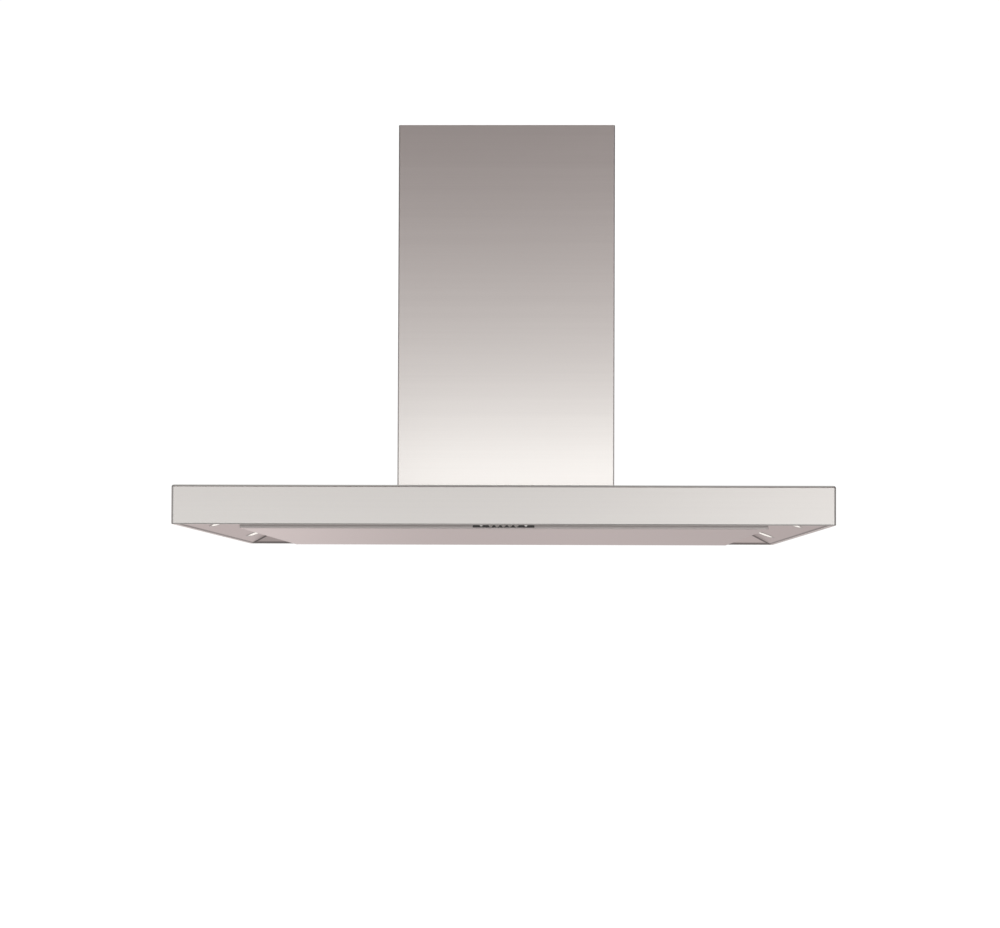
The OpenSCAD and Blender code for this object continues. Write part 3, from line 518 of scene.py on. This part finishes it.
MATERIALS = {
    "brushed_stainless": brushed("brushed_stainless", STAINLESS, 0.295, 0.06),
    # The tray's finish has painted shade along its foot and rear corner creases.
    "tray_steel": brushed("tray_steel", TRAY, 0.3, 0.02, 0.4, crease_shade=True),
    "zinc_plated": plated("zinc_plated", rgb(0.55, 0.56, 0.57), 0.42),
    "fastener_steel": turned("fastener_steel", rgb(0.62, 0.62, 0.62), 0.33),
    "shaft_steel": turned("shaft_steel", rgb(0.60, 0.60, 0.60), 0.2),
    "filter_aluminium": turned("filter_aluminium", rgb(0.62, 0.63, 0.64), 0.38),
    "button_metal": turned("button_metal", rgb(0.88, 0.85, 0.82), 0.4),
    "fascia_black": moulded("fascia_black", rgb(0.045, 0.042, 0.042), 0.3, 900.0, 0.08),
    "latch_plastic": moulded("latch_plastic", rgb(0.02, 0.02, 0.022), 0.45),
    "indicator_lens": milky("indicator_lens", rgb(0.62, 0.60, 0.57)),
    "circuit_board": circuit("circuit_board"),
    "lamp_glass": lit_glass("lamp_glass"),
    "lamp_metal": turned("lamp_metal", rgb(0.66, 0.65, 0.63), 0.33),
    "lamp_can": turned("lamp_can", rgb(0.60, 0.61, 0.62), 0.35),
    "housing_grey": moulded("housing_grey", rgb(0.13, 0.135, 0.14), 0.5),
    "collar_black": moulded("collar_black", rgb(0.016, 0.016, 0.018), 0.45),
    "bush_rubber": moulded("bush_rubber", rgb(0.010, 0.010, 0.010), 0.75, 500.0, 0.35),
    "impeller_metal": turned("impeller_metal", rgb(0.58, 0.59, 0.60), 0.33),
    "magnet_holder": moulded("magnet_holder", rgb(0.013, 0.013, 0.014), 0.5),
    "wire_sleeve": sleeve("wire_sleeve"),
}

# ------------------------------------------------------- canopy and chimney sheet


def canopy_shell():
    """Box of folded sheet with rounded top edges and a return around the rim."""
    low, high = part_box("canopy_shell")
    hx, hy = high.x, high.y

    def wall(inset, z):
        r = max(CORNER - inset, 0.4 * MM)
        return rounded_loop(-hx + inset, hx - inset, -hy + inset, hy - inset, z, r)

    def air(z):
        return rounded_loop(-AIR_X, AIR_X, -AIR_Y, AIR_Y, z, 2 * MM)

    outer = [wall(FOLD - r, z) for r, z in arc(0, high.z - FOLD, FOLD, 90, 0, 6)]
    hem = [wall(HEM - r, z) for r, z in arc(0, low.z + HEM, HEM, 0, -90, 6)]
    hem += [wall(RIM - HEM - r, z) for r, z in arc(0, low.z + HEM, HEM, -90, -180, 4)]
    lift = [wall(RIM, low.z + LIFT), wall(SHEET, low.z + LIFT)]
    inner = [wall(FOLD - r, z)
             for r, z in arc(0, high.z - FOLD, FOLD - SHEET, 0, 90, 6)]
    loops = [air(high.z)] + outer + hem + lift + inner + [air(high.z - SHEET)]
    shell = make_object("canopy_body", loft(loops, ring=True))
    return stand_for(bevel(shell, 0.25 * MM, 1), "canopy_shell")


def folded_channel(x, y, z0, z1, mirror):
    """Half of a chimney: a channel of sheet with two rounded upright folds."""
    def path(inset):
        r = CHIMNEY_FOLD - inset
        left = arc(-x + CHIMNEY_FOLD, -y + CHIMNEY_FOLD, r, 180, 270, 6)
        right = arc(x - CHIMNEY_FOLD, -y + CHIMNEY_FOLD, r, 270, 360, 6)
        return [(-x + inset, -SEAM)] + left + right + [(x - inset, -SEAM)]

    outline = path(0) + list(reversed(path(CHIMNEY_SHEET)))
    side = -1 if mirror else 1
    loops = [[(px, side * py, z) for px, py in outline] for z in (z0, z1)]
    return loft(loops, caps=(True, True))


def chimney_half(node, name):
    """A channel; the front halves carry the straps, the lower halves a bent foot."""
    low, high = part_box(node)
    rear = "rear" in node
    x = high.x
    y = high.y if rear else -low.y
    sheet = CHIMNEY_SHEET
    parts = [folded_channel(x, y, low.z, high.z, rear)]
    if not rear:
        top = high.z if "lower" in node else high.z - STRAP_DROP
        for side in (-1, 1):
            inner = sorted((side * (x - sheet), side * (x - 2 * sheet)))
            parts.append(box_mesh(*inner, -STRAP, STRAP, low.z, top))
    if "lower" in node:
        edge = (y - FOOT, y - sheet) if rear else (-y + sheet, -y + FOOT)
        parts.append(box_mesh(-x + 3 * MM, x - 3 * MM, *edge, low.z, low.z + sheet))
    half = make_object(name, merged(*parts))
    return stand_for(bevel(half, 0.2 * MM, 1), node)


# ------------------------------------------------------------------ filter cover


def filter_cover():
    """Folded panel; its edges are bent up with a small radius."""
    low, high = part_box("filter_cover")
    sheet, bend = COVER_SHEET, COVER_BEND

    def rect(inset, z, r):
        return rounded_loop(low.x + inset, high.x - inset, low.y + inset,
                            high.y - inset, z, r, 4)

    def corner(inset):
        return max(COVER_CORNER - inset, 0.4 * MM)

    skin = [rect(bend - r, z, corner(bend - r))
            for r, z in arc(0, low.z + bend, bend, -90, 0, 5)]
    rim = [rect(0, high.z, corner(0)), rect(sheet, high.z, corner(sheet))]
    inside = [rect(bend - r, z, corner(bend - r))
              for r, z in arc(0, low.z + bend, bend - sheet, 0, -90, 5)]
    cover = make_object("cover_panel", loft(skin + rim + inside, caps=(True, True)))
    notches = [box_mesh(s * LEAF_X - LEAF_HALF, s * LEAF_X + LEAF_HALF,
                        high.y - 1.2 * MM, high.y + 1 * MM,
                        low.z + 2.2 * MM, high.z + 1 * MM) for s in (-1, 1)]
    cut(cover, notches)
    return stand_for(bevel(cover, 0.2 * MM, 1), "filter_cover")


# ------------------------------------------------------------------------- lamps


def lamp_frames():
    """The place of each lamp, +Z square to its incline and away from the room."""
    low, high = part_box("lamp_lenses")
    slope = math.atan(MARGIN_RISE / MARGIN_RUN)
    places = []
    for side in (-1, 1):
        for y in (low.y + LENS_R, high.y - LENS_R):
            x = side * LAMP_X
            z = low.z + LENS_R * math.sin(slope) + LENS_PROUD * math.cos(slope)
            turn = Matrix.Rotation(side * slope, 4, "Y")
            places.append(Matrix.Translation((x, y, z)) @ turn)
    return places


def lamps():
    """Rounded bezels and slightly domed frosted glasses."""
    r = LENS_R
    inner = [(r + 0.7 * MM - 0.7 * MM * math.cos(a), -0.7 * MM * math.sin(a))
             for a in (math.radians(d) for d in (0, 30, 60, 90))]
    bezel = inner + [(r + 4.4 * MM, -0.7 * MM), (r + 5.4 * MM, -0.5 * MM),
                     (r + 6 * MM, -0.1 * MM), (r + 1.3 * MM, -0.1 * MM),
                     (r + 1.3 * MM, 6 * MM), (r, 6 * MM), inner[0]]
    dome = [(r * math.sin(math.radians(a)),
             -0.2 * MM - 0.9 * MM * math.cos(math.radians(a))) for a in range(0, 91, 10)]
    glass = dome + [(r, 2.2 * MM), (0, 2.2 * MM)]
    places = lamp_frames()
    bezels = make_object("lamp_rings", merged(*(placed(lathe(bezel), m) for m in places)))
    stand_for(bezels, "lamp_bezels")
    glasses = make_object("lamp_glasses", merged(*(placed(lathe(glass), m) for m in places)))
    stand_for(glasses, "lamp_lenses")


# ---------------------------------------------------------------------- controls


def push_buttons():
    """Turned metal buttons with a rounded rim and a shallow dish."""
    for i in range(1, 6):
        node = f"button_{i}"
        low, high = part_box(node)
        r = (high.x - low.x) / 2
        length = high.y - low.y
        rim = [(r - BUTTON_RIM * (1 - math.sin(a)), BUTTON_RIM * (1 - math.cos(a)))
               for a in (math.radians(d) for d in range(0, 91, 15))]
        profile = [(0, 0.35 * MM), (r * 0.5, 0.27 * MM), (r * 0.72, 0.1 * MM)] + rim
        profile += [(r, BUTTON_HEAD), (STEM_R, BUTTON_HEAD + 0.1 * MM),
                    (STEM_R, length), (0, length)]
        centre = Vector(((low.x + high.x) / 2, low.y, (low.z + high.z) / 2))
        turn = Matrix.Translation(centre) @ Matrix.Rotation(math.radians(-90), 4, "X")
        stand_for(make_object(f"push_button_{i}", placed(lathe(profile), turn)), node)


# --------------------------------------------------------------- grease filters


def filter_mesh(x0, x1, y0, y1, z, pitch_x, pitch_y, strand, thick):
    """Expanded metal: zigzag strands that meet at their peaks."""
    parts = []
    rows = round((y1 - y0) / pitch_y)
    columns = round((x1 - x0) / pitch_x)
    step_x = (x1 - x0) / columns
    step_y = (y1 - y0) / rows
    for j in range(rows + 1):
        y = y0 + j * step_y
        for sign in (-1, 1):
            line = [(x0 + k * step_x / 2,
                     y + sign * (step_y / 2 - strand / 2) * (1 if k % 2 else 0))
                    for k in range(2 * columns + 1)]
            line = [(px, min(max(py, y0), y1)) for px, py in line]
            parts.append(ribbon(line, strand, z, thick))
    return merged(*parts)


def ribbon(line, width, z, thick):
    """A flat strip of the given width along a line, from z to z + thick."""
    loops = []
    for px, py in line:
        a, b = py - width / 2, py + width / 2
        loops.append([(px, a, z), (px, b, z), (px, b, z + thick), (px, a, z + thick)])
    return loft(loops, caps=(True, True))


def grease_filters():
    """Folded frames with a pocket for the latch, each around a pad and a mesh."""
    border, edge = FILTER_BORDER, FILTER_EDGE
    for name in ("left", "centre", "right"):
        node = f"grease_filter_{name}"
        low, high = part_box(node)
        x_mid = (low.x + high.x) / 2

        def rect(inset, z):
            return rounded_loop(low.x + inset, high.x - inset, low.y + inset,
                                high.y - inset, z, max(3 * MM - inset, 0.6 * MM), 4)

        loops = [rect(border, low.z + FILTER_LIP), rect(border, low.z),
                 rect(edge, low.z), rect(0, low.z + edge), rect(0, high.z - edge),
                 rect(edge, high.z), rect(border, high.z),
                 rect(border, high.z - FILTER_LIP)]
        body = loft(loops, ring=True)
        pad = corrugated_pad(low.x + border - 1 * MM, high.x - border + 1 * MM,
                             low.y + border - 1 * MM, high.y - border + 1 * MM,
                             low.z + 2.2 * MM, high.z - 2.2 * MM)
        pocket = box_mesh(x_mid - GRIP_HALF, x_mid + GRIP_HALF, low.y - 1 * MM,
                          low.y + GRIP_DEEP, low.z - 1 * MM, low.z + 4 * MM)
        rim = cut(make_object(f"filter_frame_{name}", body), [pocket])
        stand_for(bevel(rim, 0.3 * MM, 1), node)
        waves = cut(make_object(f"filter_pad_{name}", pad), [pocket])
        mesh = make_object(f"filter_mesh_{name}", filter_mesh(
            low.x + border, high.x - border, low.y + GRIP_DEEP + 3 * MM, high.y - border,
            low.z + 1.0 * MM, 12.5 * MM, 6.0 * MM, 0.9 * MM, 0.7 * MM))
        for layer in (waves, mesh):
            layer.data.materials.append(MATERIALS["filter_aluminium"])
            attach(layer, BODY_OF[node])


def corrugated_pad(x0, x1, y0, y1, z0, z1, pitch=7 * MM, wave=0.8 * MM):
    """Closed pad whose lower face is folded in long waves."""
    n = round((x1 - x0) / pitch) * 4
    loops = []
    for k in range(n + 1):
        x = x0 + (x1 - x0) * k / n
        z = z0 + wave * (1 - math.cos(2 * math.pi * (x - x0) / pitch)) / 2
        loops.append([(x, y0, z), (x, y1, z), (x, y1, z1), (x, y0, z1)])
    return loft(loops, caps=(True, True))


# --------------------------------------------------------------- carried CAD nodes

# Width of the broken edges in millimetres; the nodes that aren't listed have 0.25.
EDGE = {
    "inner_tray": 0.3, "control_rail": 0.35, "control_fascia": 0.4, "filter_rails": 0.3,
    "ceiling_plate": 0.4, "motor": 1.5, "capacitor": 1.5, "electronics_box": 0.3,
    "electronics_cover": 0.3, "power_board": 0.4, "lamp_transformer": 1.0,
    "outlet_collar": 0.5, "scroll_housing_left": 0.5, "scroll_housing_right": 0.5,
    "cable_gland": 0.4, "cover_magnets": 0.6, "filter_latch_left": 0.5,
    "filter_latch_centre": 0.5, "filter_latch_right": 0.5, "fan_box": 0.3,
    "outlet_plenum": 0.3, "damper_flap_front": 0.3, "damper_flap_rear": 0.3,
}


def carry_over():
    """CAD nodes that keep their shape get a finish and softly broken edges."""
    for name, obj in frame["nodes"].items():
        obj.data.materials.clear()
        obj.data.materials.append(MATERIALS[SLOT_OF[name]])
        if obj.hide_render:
            continue
        weld = obj.modifiers.new("weld", "WELD")
        weld.merge_threshold = 1e-6
        flat = obj.modifiers.new("flat", "DECIMATE")
        flat.decimate_type = "DISSOLVE"
        flat.angle_limit = math.radians(0.5)
        bevel(obj, EDGE.get(name, 0.25) * MM, angle=40)


# ------------------------------------------------------------- floor, light, camera


def floor_material():
    s = Shader("pale_floor")
    tone = s.noise(s.place(), 0.6, 3.0)
    s.link(s.mix_colour(tone, rgb(0.92, 0.92, 0.92), rgb(0.96, 0.96, 0.96)),
           s.bsdf.inputs["Base Color"])
    s.set(Roughness=0.9)
    s.bsdf.inputs["Specular IOR Level"].default_value = 0.1
    return s.material


def stage():
    """Wide pale floor that metal doesn't mirror."""
    size, z = 60.0, FLOOR_Z
    floor = make_object("floor", ([(-size, -size, z), (size, -size, z), (size, size, z),
                                   (-size, size, z)], [(0, 1, 2, 3)]))
    floor.data.materials.append(floor_material())
    floor.visible_glossy = False


# The studio by the sine of the elevation, in front of the hood and behind it: level
# and tint of each stop.
PLAIN, COOL = (1.0, 0.995, 0.985), (0.99, 1.0, 0.995)
ROSE, WARM = (1.25, 0.87, 0.875), (1.04, 0.94, 0.93)
STUDIO_FRONT = [
    (-1.0, 0.42, PLAIN), (-0.5, 0.14, PLAIN), (-0.16, 0.70, COOL), (-0.02, 1.13, COOL),
    (0.04, 1.29, COOL), (0.15, 1.40, COOL), (0.21, 0.55, ROSE), (0.29, 0.05, ROSE),
    (0.50, 0.12, ROSE), (0.70, 0.24, PLAIN), (1.0, 0.50, PLAIN)]
STUDIO_REAR = [
    (-1.0, 0.60, PLAIN), (-0.75, 0.48, WARM), (-0.45, 0.48, WARM), (-0.18, 0.79, WARM),
    (-0.03, 0.80, WARM), (0.06, 0.71, WARM), (0.25, 0.36, PLAIN), (0.60, 0.40, PLAIN),
    (1.0, 0.60, PLAIN)]


class World(Nodes):
    """The scene's world, with an empty node tree to start from."""

    def __init__(self, name):
        world = bpy.data.worlds.new(name)
        bpy.context.scene.world = world
        world.use_nodes = True
        super().__init__(world.node_tree)
        self.tree.nodes.clear()

    def ramp(self, value, table):
        """Colour ramp over the sine of the elevation, -1 to 1."""
        made = self.node("ValToRGB")
        self.put(made.inputs[0], self.math("MULTIPLY", self.math("ADD", value, 1.0), 0.5))
        stops = made.color_ramp.elements
        stops.remove(stops[-1])
        for k, (height, level, tint) in enumerate(table):
            stop = stops[0] if k == 0 else stops.new((height + 1) / 2)
            stop.position = (height + 1) / 2
            stop.color = rgb(*(level * t for t in tint))
        return made.outputs[0]


def studio_world():
    """Soft studio seen in reflections; the camera itself sees plain white."""
    w = World("studio")
    split = w.node("SeparateXYZ")
    w.put(split.inputs[0], w.node("TexCoord").outputs["Generated"])
    x, y, z = split.outputs
    rear = w.smooth(y, -0.3, 0.3, 0.0, 1.0)
    base = w.mix_colour(rear, w.ramp(z, STUDIO_FRONT), w.ramp(z, STUDIO_REAR))
    # Dark flags at both sides draw the dark lines along the folded edges.
    flag = w.smooth(w.math("ABSOLUTE", x), 0.45, 0.85, 1.0, SIDE_FLAG)
    below = w.smooth(z, -0.50, -0.25, 1.0, 0.0)
    above = w.math("SUBTRACT", 1.0, below)
    # In front the right is brighter near the horizon and darker below it.
    front_drift = w.math(
        "MULTIPLY", w.math("ADD", w.smooth(x, -0.2, 0.0, 1.05, 1.0),
                           w.smooth(x, 0.02, 0.22, 0.0, 0.30)),
        w.math("ADD", above, w.math("MULTIPLY", w.smooth(x, 0.0, 0.10, 1.0, 0.25), below)))
    # Behind the hood the left is brighter near the horizon, the right below it.
    rear_drift = w.math(
        "ADD", w.math("MULTIPLY", w.math("ADD", w.smooth(x, -0.30, -0.05, 0.55, 0.0),
                                         w.smooth(x, 0.0, 0.20, 1.0, 0.80)), above),
        w.math("MULTIPLY", w.smooth(x, 0.0, 0.15, 1.0, 1.4), below))
    drift = w.math("ADD", w.math("MULTIPLY", front_drift, w.math("SUBTRACT", 1.0, rear)),
                   w.math("MULTIPLY", rear_drift, rear))
    studio = w.node("Background")
    w.put(studio.inputs[0], base)
    w.put(studio.inputs[1], w.math("MULTIPLY", flag, drift))
    plain = w.node("Background")
    plain.inputs[0].default_value = rgb(1.0, 1.0, 1.0)
    plain.inputs[1].default_value = 1.05
    choose = w.node("MixShader")
    w.put(choose.inputs[0], w.node("LightPath").outputs["Is Camera Ray"])
    w.put(choose.inputs[1], studio.outputs[0])
    w.put(choose.inputs[2], plain.outputs[0])
    w.put(w.node("OutputWorld").inputs[0], choose.outputs[0])


def add_light(name, kind, energy):
    data = bpy.data.lights.new(name, kind)
    data.energy = energy
    light = bpy.data.objects.new(name, data)
    bpy.context.scene.collection.objects.link(light)
    return light


def lights():
    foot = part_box("lower_chimney_front")[0]
    # Softbox whose reflection brightens the chimney towards its foot.
    wash = add_light("wash", "AREA", WASH)
    wash.data.shape = "RECTANGLE"
    wash.data.size, wash.data.size_y = 1.1, 0.22
    wash.location = (0.05, -1.75, foot.z + 0.13)
    aim = Vector((0.0, foot.y, foot.z + 0.05)) - wash.location
    wash.rotation_mode = "QUATERNION"
    wash.rotation_quaternion = aim.to_track_quat("-Z", "Y")
    wash.visible_camera = False
    chimney = bpy.data.collections.new("chimney")
    for name in CHIMNEY.values():
        chimney.objects.link(bpy.data.objects[name])
    wash.light_linking.receiver_collection = chimney
    # Even light on the floor; metal doesn't mirror it.
    sun = add_light("floor_sun", "SUN", 3.8)
    sun.data.angle = math.radians(60)
    sun.visible_glossy = False


def camera():
    """Eye a little below the rim, nearly level, with the frame shifted upwards."""
    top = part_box("canopy_shell")[1].z
    data = bpy.data.cameras.new("camera")
    data.lens = 47.634
    data.sensor_width = 36.0
    data.shift_x = -0.02973
    data.shift_y = 0.13253
    data.clip_start, data.clip_end = 0.05, 200.0
    eye = bpy.data.objects.new("camera", data)
    bpy.context.scene.collection.objects.link(eye)
    yaw, pitch, roll = (math.radians(a) for a in (0.5142, 0.8257, -0.1841))
    turn = (Matrix.Rotation(yaw, 4, "Z") @ Matrix.Rotation(pitch, 4, "X")
            @ Matrix.Rotation(roll, 4, "Y") @ Matrix.Rotation(math.radians(90), 4, "X"))
    eye.matrix_world = Matrix.Translation((0.0702, -2.7048, top - 0.2353)) @ turn
    bpy.context.scene.camera = eye


# --------------------------------------------------------------------------- build

camera()
canopy_shell()
for chimney_node, chimney_name in CHIMNEY.items():
    chimney_half(chimney_node, chimney_name)
filter_cover()
lamps()
push_buttons()
grease_filters()
carry_over()
stage()
studio_world()
lights()
bpy.context.scene.view_settings.view_transform = "Standard"
